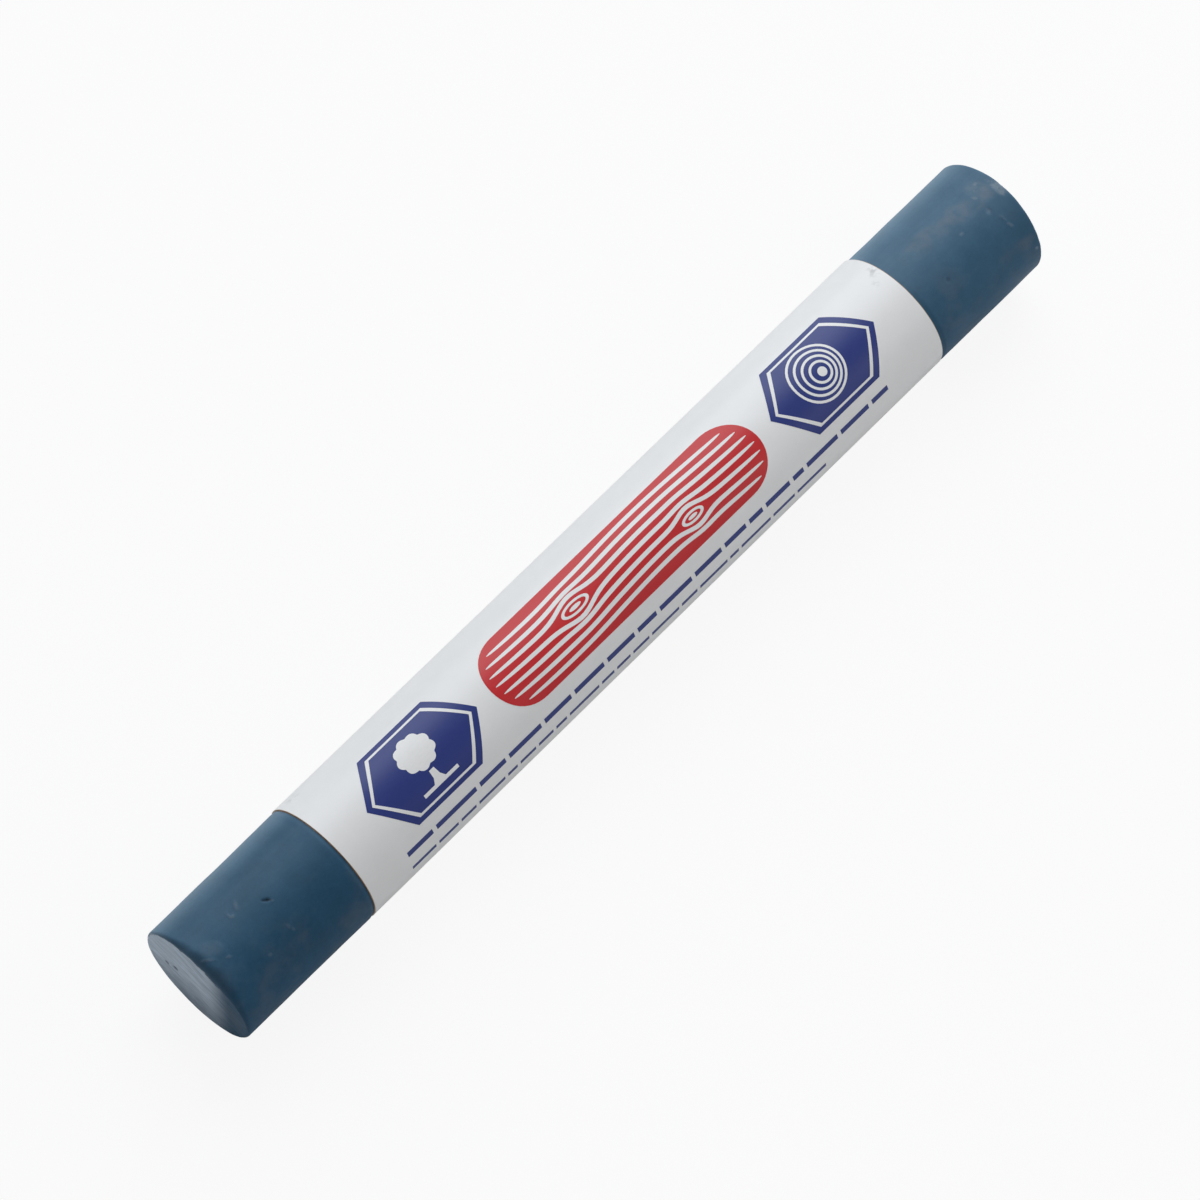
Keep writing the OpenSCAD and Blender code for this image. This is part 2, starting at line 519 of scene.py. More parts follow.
# Rows of the wax bar's mesh along its outline, from the middle of the near end to the middle of the far end
BAR_ROWS = {
    "near_cap": 60,
    "near_rim": 8,
    "near_bare": 120,
    "wrapped": 12,
    "far_bare": 110,
    "far_rim": 8,
    "far_cap": 20,
}
# Columns of the mesh round the bar
BAR_COLUMNS = 256


def one_side(graph, angle, turn):
    """1 on the side of the bar at a turn from straight down, and 0 from a quarter turn off it."""
    facing = graph.math("MAXIMUM", graph.math("COSINE", angle - turn), 0.0)
    return facing * facing


def turned_bar(graph, size):
    """Turns an outline with worn rims about the bar's axis, and stores how far in on an end a point lies."""
    rows = sum(BAR_ROWS.values())
    sheet = graph.field(
        "GeometryNodeMeshGrid",
        (("Size X", 1.0), ("Size Y", 1.0), ("Vertices X", rows + 1), ("Vertices Y", BAR_COLUMNS + 1)),
    )
    across, around, _ = graph.split(graph.field("GeometryNodeInputPosition"))
    share = {}
    done = 0
    for zone, count in BAR_ROWS.items():
        start = done / rows - 0.5
        done += count
        share[zone] = graph.ramp(across, start, done / rows - 0.5, "LINEAR")
    angle = (around + 0.5) * TAU
    sine = graph.math("SINE", angle)
    cosine = graph.math("COSINE", angle)
    rim = {}
    for end, shift in (("near", 3.0), ("far", 8.0)):
        wobble = graph.noise(graph.vector(sine, cosine, shift), 0.45, 4, 0.6) * 2 - 1
        rim[end] = size["Rim radius"] * (1 + wobble * size["Rim wobble"])
    worn = one_side(graph, angle, NEAR_WORN_TURN)
    chipped = graph.noise(graph.vector(sine, cosine, 5.0), 0.2, 3, 0.6) * 1.2 + 0.4
    rim["near"] = rim["near"] + size["Near wear"] * worn * worn * chipped
    low_side = 1 - one_side(graph, angle, FAR_HIGH_TURN)
    near_turn = share["near_rim"] * (TAU / 4)
    far_turn = share["far_rim"] * (TAU / 4)
    half = size["Length"] / 2
    radius = share["near_cap"] * (size["Radius"] - rim["near"]) + rim["near"] * graph.math("SINE", near_turn)
    radius = radius - rim["far"] * (1 - graph.math("COSINE", far_turn))
    radius = radius - share["far_cap"] * (size["Radius"] - rim["far"])
    along = rim["near"] * (1 - graph.math("COSINE", near_turn)) - half
    along = along + share["near_bare"] * (size["Near edge"] + half - rim["near"])
    along = along + share["wrapped"] * (size["Far edge"] - size["Near edge"])
    along = along + share["far_bare"] * (half - rim["far"] - size["Far edge"])
    along = along + rim["far"] * graph.math("SINE", far_turn)
    along = along - size["Far slope"] * low_side * share["far_bare"] * (1 - share["far_cap"])
    turned = graph.vector(along, radius * sine, size["Axis height"] - radius * cosine)
    near_cut = 1 - share["near_cap"] - share["near_rim"] * 0.1 - share["near_bare"]
    far_cut = share["far_cap"] - (1 - share["far_rim"]) * 0.1 - (1 - share["far_bare"])
    bar = store(graph, sheet, "cut_share", graph.math("MAXIMUM", near_cut, far_cut))
    bar = graph.field("GeometryNodeSetPosition", (("Geometry", bar), ("Position", turned)))
    bar = graph.field("GeometryNodeMergeByDistance", (("Geometry", bar), ("Distance", SEAM_WELD)))
    return graph.field("GeometryNodeFlipFaces", [("Mesh", bar)])


def mark_cover(graph, mark, off_x, off_round, outline):
    """1 in the middle of a mark and 0 past its uneven outline."""
    lean = math.radians(mark.lean)
    length_share = (off_x * math.cos(lean) + off_round * math.sin(lean)) * (2 / (mark.length * MM))
    width_share = (off_round * math.cos(lean) - off_x * math.sin(lean)) * (2 / (mark.width * MM))
    reach = length_share * length_share + width_share * width_share
    return graph.ramp(reach + outline, 1.1, 0.0)


def pit_cover(graph, pit, y, up):
    """1 in the middle of a pit and 0 past its width."""
    off_y = y - pit.back * MM
    off_z = up - pit.height * MM
    reach = (off_y * off_y + off_z * off_z) * (2 / (pit.width * MM)) ** 2
    return graph.ramp(reach, 1.0, 0.1)


def highest(graph, layers):
    """The highest of several values."""
    top = layers[0]
    for layer in layers[1:]:
        top = graph.math("MAXIMUM", top, layer)
    return top


def wax_bar_tree(sizes):
    """Makes the turned bar and lays lumps, marks, pits and saw streaks on it."""
    tree, graph, size, leave = new_tree("turned_wax_bar", sizes)
    bar = turned_bar(graph, size)
    place = graph.field("GeometryNodeInputPosition")
    x, y, z = graph.split(place)
    up = z - size["Axis height"]
    top_turn = graph.math("ARCTAN2", 0 - y, up)
    cut_share = graph.field("GeometryNodeInputNamedAttribute", [("Name", "cut_share")], data_type="FLOAT")
    is_cut = graph.ramp(cut_share, 0.0, 0.04)
    bare_near = graph.ramp(x, size["Near edge"] - UNEVEN_START, size["Near edge"] - UNEVEN_FULL)
    bare_far = graph.ramp(x, size["Far edge"] + UNEVEN_START, size["Far edge"] + UNEVEN_FULL)
    lumps = graph.noise(place, size["Lump size"], 3)
    flats = graph.noise(graph.vector(x * 0.12, y, z), 2.2 * MM, 2)
    height = (lumps - 0.3) * size["Lump height"] * 2 + (flats - 0.5) * size["Lump height"] * 1.2
    near_half = graph.ramp(x, 1 * MM, 0.0)
    swelling = graph.ramp(x, size["Near edge"] - FLARE_LENGTH, size["Near edge"]) * near_half
    height = height + swelling * size["Near flare"]
    saw_cut = saw_streaks(graph, place, 0.8 * MM)
    height = height * (1 - is_cut) + is_cut * (saw_cut - 0.9) * SAW_DEPTH
    ragged = (graph.noise(place, 0.6 * MM, 3, 0.6) - 0.5) * 1.8
    soft_edge = (graph.noise(place, 1.8 * MM, 2) - 0.5) * 1.6
    worn_side = one_side(graph, top_turn + math.pi, NEAR_WORN_TURN)
    chips = ragged * (0.05 + worn_side * near_half * 0.14) + soft_edge * 0.03
    # The pale cut ends hold dust and a painted reflection, starting further in on the worn side
    dust_and_sheen_start = worn_side * 0.1 - 0.06 + chips
    dust_and_sheen = graph.ramp(cut_share - dust_and_sheen_start, 0.01, 0.045) * (0.4 + near_half * 0.6)
    bar = store(graph, bar, "dust_and_sheen", dust_and_sheen)
    # Scuffs and grime, with painted shade in the dents and pits
    wear = {"scuff_and_highlight": [], "grime": [], "dent_shade": []}
    for mark in MARKS:
        off_x = x - mark.place * MM
        off_round = (top_turn - math.radians(mark.turn)) * size["Radius"]
        outline = soft_edge if mark.width > PATCH_WIDTH else ragged
        cover = mark_cover(graph, mark, off_x, off_round, outline) * (1 - is_cut)
        height = height - cover * (mark.depth * MM)
        for name, strength in (("scuff_and_highlight", mark.pale), ("grime", mark.grime), ("dent_shade", mark.dark)):
            if strength:
                wear[name].append(cover * strength)
    near_face = is_cut * near_half
    # Pits in the near face, dented and painted dark as shade in their hollows
    for pit in PITS:
        cover = pit_cover(graph, pit, y, up) * near_face
        height = height - cover * (pit.depth * MM)
        wear["dent_shade"].append(cover * PIT_SHADE)
    for name, layers in wear.items():
        bar = store(graph, bar, name, highest(graph, layers))
    normal = graph.field("GeometryNodeInputNormal")
    shown = height * graph.math("MINIMUM", bare_near + bare_far, 1.0)
    shift = graph.field("ShaderNodeVectorMath", ((0, normal), (3, shown)), operation="SCALE")
    bar = graph.field("GeometryNodeSetPosition", (("Geometry", bar), ("Offset", shift)))
    # The bare ends sag a little, and nothing leaves the bar's length or passes the label at the front
    x, y, z = graph.split(graph.field("GeometryNodeInputPosition"))
    half = size["Length"] / 2
    sagged = y - bare_near * size["Near sag"] - bare_far * size["Far sag"]
    within = graph.vector(
        graph.math("MINIMUM", graph.math("MAXIMUM", x, 0 - half), half),
        graph.math("MAXIMUM", sagged, 0 - size["Front limit"]),
        z,
    )
    bar = graph.field("GeometryNodeSetPosition", (("Geometry", bar), ("Position", within)))
    close_tree(graph, leave, bar, size["Material"])
    return tree


# Most dashes that a fine row can take
DASHES_PER_ROW = 48

# Share of a layer's depth under the label's face that is left where the label is pressed flat
PRESSED_SHARE = 0.4


def rolled(graph, geometry, size):
    """Rolls flat geometry round the bar: X along it, Y the arc from the label's start, Z over the wax."""
    x, arc, over = graph.split(graph.field("GeometryNodeInputPosition"))
    wave = graph.noise(graph.vector(x, arc, 0.0), size["Wave size"], 2) * 2 - 1
    radius = size["Bar radius"] + over + wave * size["Wave height"]
    angle = size["Start angle"] + arc / size["Print radius"]
    past_foot = graph.math("MAXIMUM", angle - size["Foot angle"], 0.0)
    tented = graph.math("MINIMUM", radius / graph.math("COSINE", past_foot), radius + size["Lift"])
    height = size["Axis height"] - tented * graph.math("COSINE", angle)
    pressed = graph.math("MAXIMUM", height, (size["Rest radius"] - radius) * PRESSED_SHARE)
    place = graph.vector(x, tented * graph.math("SINE", angle), pressed)
    return graph.field("GeometryNodeSetPosition", (("Geometry", geometry), ("Position", place)))


def roll_tree(sizes):
    """Rolls a flat sheet or a flat print onto the bar."""
    tree, graph, size, leave = new_tree("roll_onto_bar", sizes)
    close_tree(graph, leave, rolled(graph, size["Geometry"], size), size["Material"])
    return tree


def dash_rows_tree(sizes):
    """Lays rows of dashes with random lengths on the flat label, then rolls them onto the bar."""
    tree, graph, size, leave = new_tree("dash_rows", sizes)
    points = graph.field("GeometryNodePoints", [("Count", size["Rows"] * DASHES_PER_ROW)])
    index = graph.field("GeometryNodeInputIndex")
    row = graph.math("FLOOR", (index + 0.5) / DASHES_PER_ROW)
    limits = ((2, size["Shortest"]), (3, size["Longest"]), ("Seed", size["Seed"]))
    draw = graph.node("FunctionNodeRandomValue", limits, data_type="FLOAT")
    dash = Field(graph, draw.outputs[1])
    step = dash + size["Gap"]
    total = graph.node(
        "GeometryNodeAccumulateField", (("Value", step), ("Group ID", row)), data_type="FLOAT", domain="POINT"
    )
    before = Field(graph, total.outputs["Trailing"])
    place = graph.vector(
        size["Row start"] + before + dash / 2,
        size["First arc"] + row * size["Row pitch"],
        size["Ink top"] - size["Ink depth"] / 2,
    )
    kept = store(graph, points, "dash_length", dash)
    kept = store(graph, kept, "dash_end", before + dash)
    kept = graph.field("GeometryNodeSetPosition", (("Geometry", kept), ("Position", place)))
    end = graph.field("GeometryNodeInputNamedAttribute", [("Name", "dash_end")], data_type="FLOAT")
    over = graph.field("FunctionNodeCompare", ((0, end), (1, size["Row length"])), operation="GREATER_THAN")
    kept = graph.field(
        "GeometryNodeDeleteGeometry", (("Geometry", kept), ("Selection", over)), domain="POINT"
    )
    blank = graph.field(
        "GeometryNodeMeshCube",
        (("Size", (1.0, 1.0, 1.0)), ("Vertices X", 2), ("Vertices Y", 5), ("Vertices Z", 2)),
    )
    length = graph.field("GeometryNodeInputNamedAttribute", [("Name", "dash_length")], data_type="FLOAT")
    scale = graph.vector(length, size["Dash width"], size["Ink depth"])
    copies = (("Points", kept), ("Instance", blank), ("Scale", scale))
    dashes = graph.field("GeometryNodeInstanceOnPoints", copies, output="Instances")
    whole = graph.field("GeometryNodeRealizeInstances", [("Geometry", dashes)])
    close_tree(graph, leave, rolled(graph, whole, size), size["Material"])
    return tree


def grown_piece(name, mesh, tree, values):
    """Runs a geometry tree on a mesh and gives the result as a plain mesh object, with faces outwards."""
    piece = bpy.data.objects.new(name, mesh)
    bpy.context.scene.collection.objects.link(piece)
    growth = piece.modifiers.new(tree.name, "NODES")
    growth.node_group = tree
    for socket in tree.interface.items_tree:
        if socket.in_out == "INPUT" and socket.name in values:
            growth[socket.identifier] = values[socket.name]
    depsgraph = bpy.context.evaluated_depsgraph_get()
    grown = bpy.data.meshes.new_from_object(
        piece.evaluated_get(depsgraph), preserve_all_data_layers=True, depsgraph=depsgraph
    )
    piece.modifiers.clear()
    piece.data = grown
    grown.name = name
    bpy.data.meshes.remove(mesh)
    if not grown.polygons:
        raise RuntimeError(f"{name} came out empty")
    face_outwards(grown)
    return piece


def face_outwards(mesh):
    """Turns every face outwards and shades the mesh smooth, except at sharp edges."""
    work = bmesh.new()
    work.from_mesh(mesh)
    bmesh.ops.recalc_face_normals(work, faces=work.faces[:])
    work.to_mesh(mesh)
    work.free()
    mesh.shade_smooth()
    mesh.set_sharp_from_angle(angle=SHARP_EDGE)


def spread(low, high, count, trim):
    """Even steps between two values, with one more step close to each end."""
    steps = [low + (high - low) * step / count for step in range(count + 1)]
    return [low, low + trim] + steps[1:-1] + [high - trim, high]


def flat_sheet(name, places, arcs, heights):
    """A flat closed sheet at places along the bar, arcs round it and two heights, with its edges marked."""
    rows, columns = len(places) - 1, len(arcs) - 1
    mesh = bpy.data.meshes.new(name)
    work = bmesh.new()
    cut_edge = work.verts.layers.float.new("cut_edge")
    layers = []
    for height in heights:
        grid = []
        for row, x in enumerate(places):
            line = [work.verts.new((x, arc, height)) for arc in arcs]
            for column, corner in enumerate(line):
                corner[cut_edge] = float(row in (0, rows) or column in (0, columns))
            grid.append(line)
        layers.append(grid)
    for grid in layers:
        for line, following in zip(grid, grid[1:]):
            for column in range(columns):
                work.faces.new((line[column], following[column], following[column + 1], line[column + 1]))
    low, high = layers
    for row in range(rows):
        for column in (0, columns):
            work.faces.new((low[row][column], low[row + 1][column], high[row + 1][column], high[row][column]))
    for column in range(columns):
        for row in (0, rows):
            work.faces.new((low[row][column], low[row][column + 1], high[row][column + 1], high[row][column]))
    bmesh.ops.recalc_face_normals(work, faces=work.faces[:])
    work.to_mesh(mesh)
    work.free()
    return mesh


# Widest step round the bar of a printed shape's facets, and the slack of the cuts between them
PRINT_STEP = 0.25 * MM
CUT_SLACK = 1e-8


def flat_print(name, shapes, arc_middle, top, depth):
    """Flat closed plates from outlines in millimetres: each shape is its outer loop and then its holes."""
    mesh = bpy.data.meshes.new(name)
    work = bmesh.new()
    for loops in shapes:
        edges = []
        for loop in loops:
            corners = [work.verts.new((x * MM, arc_middle - up * MM, top - depth)) for x, up in loop]
            for first, second in zip(corners, corners[1:] + corners[:1]):
                edges.append(work.edges.new((first, second)))
        bmesh.ops.triangle_fill(work, use_beauty=True, use_dissolve=False, edges=edges)
    arcs = [corner.co.y for corner in work.verts]
    arc = min(arcs) + PRINT_STEP
    while arc < max(arcs):
        everything = work.verts[:] + work.edges[:] + work.faces[:]
        bmesh.ops.bisect_plane(
            work, geom=everything, dist=CUT_SLACK, plane_co=(0, arc, 0), plane_no=(0, 1, 0)
        )
        arc += PRINT_STEP
    raised = bmesh.ops.extrude_face_region(work, geom=work.faces[:], use_keep_orig=True)["geom"]
    corners = [part for part in raised if isinstance(part, bmesh.types.BMVert)]
    bmesh.ops.translate(work, verts=corners, vec=(0, 0, depth))
    bmesh.ops.recalc_face_normals(work, faces=work.faces[:])
    work.to_mesh(mesh)
    work.free()
    return mesh


# Steps of the small ovals in the drawings' middles
CORE_STEPS = 24


def oval(x, up, half_x, half_up, steps=40):
    """An ellipse's loop."""
    turns = [TAU * step / steps for step in range(steps)]
    return [(x + half_x * math.cos(turn), up + half_up * math.sin(turn)) for turn in turns]


def pill(x, half_length, half_width, steps=24):
    """A loop with two straight sides and fully round ends."""
    loop = []
    for end in (1, -1):
        middle = x + end * (half_length - half_width)
        for step in range(steps + 1):
            turn = math.pi * step / steps - math.pi / 2
            loop.append((middle + end * half_width * math.cos(turn), end * half_width * math.sin(turn)))
    return loop


def lozenge(x, half_length, half_width, point):
    """A loop with two straight sides and a point at each end."""
    flat = half_length - point
    half = [(x + half_length, 0.0), (x + flat, half_width), (x - flat, half_width)]
    return half + [(2 * x - corner_x, -up) for corner_x, up in half]


def ring(x, up, radius, line):
    """A circle drawn as a line."""
    return [oval(x, up, radius, radius), oval(x, up, radius - line, radius - line)]


def leafy_tree(x):
    """A leafy tree on a strip of ground."""
    corners, leaves = 96, 9
    crown_r, leaf_r, crown_up, stretch = 1.42, 0.2, 0.78, 1.12
    crown = []
    for step in range(corners):
        turn = TAU * step / corners
        reach = crown_r + leaf_r * abs(math.sin(leaves / 2 * turn))
        crown.append((x + stretch * reach * math.cos(turn), crown_up + reach * math.sin(turn)))
    half = [(0.26, -1.02), (0.34, -1.7), (0.62, -2.15), (1.9, -2.15), (1.9, -2.45)]
    trunk = [(x + along, up) for along, up in half] + [(x - along, up) for along, up in reversed(half)]
    return [[crown], [trunk]]


# Knots in the grain of the red band: place along the band, the gap between lines that it sits in, and size
Knot = namedtuple("Knot", "place gap half_length half_width")
KNOTS = (
    Knot(place=-5.6, gap=0, half_length=1.5, half_width=0.55),
    Knot(place=6.8, gap=-2, half_length=1.2, half_width=0.46),
)
# Grain lines, counted from the band's middle, with their pitch, their distance from its edge and their steps
GRAIN_LINES = range(-3, 4)
GRAIN_PITCH = 0.82
GRAIN_MARGIN = 0.55
GRAIN_STEPS = 72


def grain_height(line, along):
    """Height of a grain line over the band's middle: a slow wave that swings out round the knots."""
    wave_height, wave_length, wave_start = 0.22, 24, 0.7
    swing_height, swing_length, swing_fade = 1.05, 1.25, 0.9
    up = line * GRAIN_PITCH + wave_height * math.sin(TAU * along / wave_length + wave_start)
    for knot in KNOTS:
        steps_off = line - knot.gap - 0.5
        off = (along - knot.place) / (swing_length * knot.half_length)
        swing = swing_height * knot.half_width * math.exp(-(off ** 2))
        up += math.copysign(swing * math.exp(-(abs(steps_off) - 0.5) / swing_fade), steps_off)
    return up


def wood_grain(x, half_length, half_width):
    """Grain lines of a board inside a pill, which bend round two knots and run out in points."""
    thin, thick, bluntness = 0.03, 0.15, 6
    ring_length, ring_width, core_length, core_width = 0.32, 0.2, 0.42, 0.3
    shapes = []
    for line in GRAIN_LINES:
        rounding = math.sqrt(max(0.0, (half_width - GRAIN_MARGIN) ** 2 - (line * GRAIN_PITCH) ** 2))
        reach = half_length - half_width + rounding
        middle = [reach * (2 * step / GRAIN_STEPS - 1) for step in range(GRAIN_STEPS + 1)]
        half = [thin + thick * math.sqrt(max(0.0, 1 - (along / reach) ** bluntness)) for along in middle]
        upper = [(x + along, grain_height(line, along) + wide) for along, wide in zip(middle, half)]
        lower = [(x + along, grain_height(line, along) - wide) for along, wide in zip(middle, half)]
        shapes.append([upper + lower[::-1]])
    for knot in KNOTS:
        up = (grain_height(knot.gap, knot.place) + grain_height(knot.gap + 1, knot.place)) / 2
        place = x + knot.place
        outer = oval(place, up, knot.half_length, knot.half_width)
        inner = oval(place, up, knot.half_length - ring_length, knot.half_width - ring_width)
        core = oval(place, up, knot.half_length * core_length, knot.half_width * core_width, CORE_STEPS)
        shapes += [[outer, inner], [core]]
    return shapes


def end_grain(x):
    """Year rings of a cut log, a little off centre."""
    core_r, inner_r, pitch, line = 0.42, 0.5, 0.52, 0.22
    drift, climb, rings = 0.1, 0.06, 4
    shapes = []
    for order in range(1, rings + 1):
        shapes.append(ring(x - drift * order, climb * order, inner_r + pitch * order, line))
    return shapes + [[oval(x, 0.0, core_r, core_r, CORE_STEPS)]]


# How far a badge's white line lies in from its length, width and points: the line's outer and inner loop
Inset = namedtuple("Inset", "length width point")
BADGE_LINE = (Inset(0.6, 0.45, 0.15), Inset(0.9, 0.65, 0.2))
# Length of a badge's points
BADGE_POINT = 2.6


def badge_loop(x, half_length, half_width, inset=Inset(0, 0, 0)):
    """A badge's outline, or a loop that lies in from it."""
    return lozenge(x, half_length - inset.length, half_width - inset.width, BADGE_POINT - inset.point)


# Height of the white drawings over the other inks
DRAWING_LIFT = 0.005 * MM

# Blocks of fine rows, in millimetres: their start and length along the bar, how far the first row lies below
# the print's middle, the width of a dash, the number of rows and their pitch
DashBlock = namedtuple("DashBlock", "name start length below width rows pitch")
DASH_BLOCKS = (
    DashBlock("fine_row_upper", start=-28.5, length=58.0, below=5.1, width=0.5, rows=1, pitch=1.0),
    DashBlock("fine_row_lower", start=-28.5, length=50.0, below=6.9, width=0.4, rows=1, pitch=1.0),
    DashBlock("fine_rows_back", start=-24.0, length=46.0, below=-11.7, width=0.5, rows=3, pitch=1.3),
)
# Shortest and longest dash, and the gap between dashes, in widths of a dash
DASH_SHORTEST = 2.0
DASH_LONGEST = 9.0
DASH_GAP = 0.9

# Steps of the flat sheets along the bar and round it, and the width of the strips at their edges
COAT_STEPS = (64, 240)
PAPER_STEPS = (72, 260)
EDGE_STRIP = 0.05 * MM


def roll_values(label):
    """Inputs of the rolling trees, from the label's sizes."""
    lift = label.paper_top
    foot = TAU + label.lap_foot
    tent = math.acos(BAR_R / (BAR_R + lift))
    return {
        "Bar radius": BAR_R,
        "Axis height": AXIS_H,
        "Print radius": BAR_R + label.paper_top,
        "Start angle": label.lap_foot + tent,
        "Foot angle": foot,
        "Lift": lift,
        "Rest radius": LABEL_R,
        "Wave height": label.wave_height,
        "Wave size": label.wave_size,
    }


def wrap_length(label):
    """Length of the label round the bar, with its lap."""
    return TAU * (BAR_R + label.paper_top) + label.lap_width


def middle_arc(scene):
    """Arc from the label's start to the middle of the print."""
    values = roll_values(scene.wax_label)
    return (math.pi + scene.wax_print.middle_turn - values["Start angle"]) * values["Print radius"]


def dash_sizes(order, design, arc):
    """More inputs of the rolling tree that one block of fine rows needs."""
    block = DASH_BLOCKS[order]
    return {
        "Row start": block.start * MM,
        "Row length": block.length * MM,
        "First arc": arc + block.below * MM,
        "Row pitch": block.pitch * MM,
        "Dash width": block.width * MM,
        "Shortest": DASH_SHORTEST * block.width * MM,
        "Longest": DASH_LONGEST * block.width * MM,
        "Gap": DASH_GAP * block.width * MM,
        "Ink top": design.ink_top,
        "Ink depth": design.ink_depth,
        "Rows": block.rows,
        "Seed": design.row_seed + order,
    }


def seat(piece, slot, *nodes):
    """Lets a piece ride on the stick's root body in place of CAD nodes, which it hides; the slot is not used.
    """
    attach(piece, "root")
    if nodes:
        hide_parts(*nodes)


class WAX_OT_add_bar(Operator):
    """Add the turned bar of filler wax with its marks and cut ends"""

    bl_idname = "wax_stick.add_bar"
    bl_label = "Add wax bar"

    def execute(self, context):
        bar = context.scene.wax_bar
        label = context.scene.wax_label
        sizes = {
            "Length": BAR_HIGH.x - BAR_LOW.x,
            "Radius": BAR_R,
            "Axis height": AXIS_H,
            "Near edge": label.near_edge,
            "Far edge": label.far_edge,
            "Rim radius": bar.rim_radius,
            "Rim wobble": bar.rim_wobble,
            "Near wear": bar.near_wear,
            "Far slope": bar.far_slope,
            "Near flare": bar.near_flare,
            "Near sag": bar.near_sag,
            "Far sag": bar.far_sag,
            "Front limit": LABEL_R,
            "Lump height": bar.lump_height,
            "Lump size": bar.lump_size,
        }
        values = sizes | {"Material": wax_finish(bar)}
        piece = grown_piece("wax_bar", bpy.data.meshes.new("wax_blank"), wax_bar_tree(sizes), values)
        seat(piece, "filler_wax", "wax_stick")
        return {"FINISHED"}


class WAX_OT_add_label(Operator):
    """Add the paper label and its adhesive, rolled round the bar with a lap"""

    bl_idname = "wax_stick.add_label"
    bl_label = "Add label"

    def execute(self, context):
        label = context.scene.wax_label
        values = roll_values(label)
        tree = roll_tree(values)
        wrap = wrap_length(label)
        creep = label.creep
        places = spread(label.near_edge - creep, label.far_edge + creep, COAT_STEPS[0], EDGE_STRIP)
        arcs = spread(-creep / 2, wrap + creep / 2, COAT_STEPS[1], EDGE_STRIP)
        coat = flat_sheet("adhesive_flat", places, arcs, (0.0, label.adhesive_top))
        piece = grown_piece("adhesive_coat", coat, tree, values | {"Material": adhesive_finish(label)})
        seat(piece, "adhesive", "label_adhesive")
        places = spread(label.near_edge, label.far_edge, PAPER_STEPS[0], EDGE_STRIP)
        arcs = spread(0.0, wrap, PAPER_STEPS[1], EDGE_STRIP)
        sheet = flat_sheet("paper_flat", places, arcs, (label.adhesive_top, label.paper_top))
        piece = grown_piece("rolled_label", sheet, tree, values | {"Material": paper_finish(label)})
        seat(piece, "label_paper", "paper_label")
        return {"FINISHED"}


class WAX_OT_add_print(Operator):
    """Add the red band, the blue badges, their white drawings and the fine rows"""

    bl_idname = "wax_stick.add_print"
    bl_label = "Add print"

    def execute(self, context):
        scene = context.scene
        label = scene.wax_label
        design = scene.wax_print
        rolling = bpy.data.node_groups["roll_onto_bar"]
        values = roll_values(label)
        arc = middle_arc(scene)
        red = ink_finish("red_ink", design.red_colour)
        blue = ink_finish("blue_ink", design.blue_colour)
        white = ink_finish("white_marks", label.paper_colour)
        middle = design.band_place / MM
        reach = design.badge_reach / MM
        badge_half = design.badge_length / MM / 2, design.badge_width / MM / 2
        band_half = design.band_length / MM / 2, design.band_width / MM / 2
        band = [[pill(middle, *band_half)]]
        badges = []
        drawings = wood_grain(middle, *band_half)
        for place in (middle - reach, middle + reach):
            badges.append([badge_loop(place, *badge_half)])
            drawings.append([badge_loop(place, *badge_half, inset) for inset in BADGE_LINE])
        drawings += leafy_tree(middle - reach)
        drawings += end_grain(middle + reach)
        layers = (
            ("red_band", band, red, "red_ink", 0.0),
            ("blue_badges", badges, blue, "blue_ink", 0.0),
            ("white_drawings", drawings, white, "label_paper", DRAWING_LIFT),
        )
        for name, shapes, finish, slot, lift in layers:
            flat = flat_print(name + "_flat", shapes, arc, design.ink_top + lift, design.ink_depth)
            piece = grown_piece(name, flat, rolling, values | {"Material": finish})
            seat(piece, slot)
        rows = dash_rows_tree(values | dash_sizes(0, design, arc))
        for order, block in enumerate(DASH_BLOCKS):
            blank = bpy.data.meshes.new(block.name + "_flat")
            sizes = dash_sizes(order, design, arc) | {"Material": blue}
            piece = grown_piece(block.name, blank, rows, values | sizes)
            seat(piece, "blue_ink")
        return {"FINISHED"}


class WAX_OT_add_stage(Operator):
    """Add the floor, the lamps, the room light and the camera"""

    bl_idname = "wax_stick.add_stage"
    bl_label = "Add stage"

    def execute(self, context):
        stage = context.scene.wax_stage
        add_floor(stage)
        add_lamps(stage)
        add_camera(context.scene, stage)
        context.scene.view_settings.view_transform = "Standard"
        return {"FINISHED"}


# Shares of plain white that the camera and the reflections see in place of the lit floor
CAMERA_WHITE = 0.9
MIRRORED_WHITE = 0.1

# Round floor in metres: its flat radius, the cove that turns up from it, the straight rise, steps and sides
FLOOR_FLAT = 1.2
FLOOR_COVE = 0.2
FLOOR_RISE = 0.12
FLOOR_STEPS = 12
FLOOR_SIDES = 96
FLOOR_WELD = 1e-6


def floor_finish(stage):
    """Pale floor that looks white to the camera and in reflections, and keeps the stick's shadow."""
    finish, graph, shader = new_finish("pale_floor", 0.9, 0.1)
    place = surface_place(graph)
    cloud = graph.noise(place, 40 * MM, 3)
    colour = graph.mix(cloud, rgba(stage.floor_colour, 0.99), rgba(stage.floor_colour, 1.01))
    graph.feed(shader.inputs["Base Color"], colour)
    path = graph.node("ShaderNodeLightPath")
    mirrored = graph.math("MAXIMUM", path.outputs["Is Glossy Ray"], path.outputs["Is Transmission Ray"])
    direct = Field(graph, path.outputs["Is Camera Ray"])
    seen = graph.math("MAXIMUM", direct * CAMERA_WHITE, mirrored * MIRRORED_WHITE)
    glow = graph.node("ShaderNodeEmission", (("Color", (1, 1, 1, 1)), ("Strength", 1.0)))
    both = graph.node("ShaderNodeMixShader", ((0, seen), (1, shader.outputs[0]), (2, glow.outputs[0])))
    graph.feed(finish.node_tree.nodes["Material Output"].inputs["Surface"], both.outputs[0])
    return finish


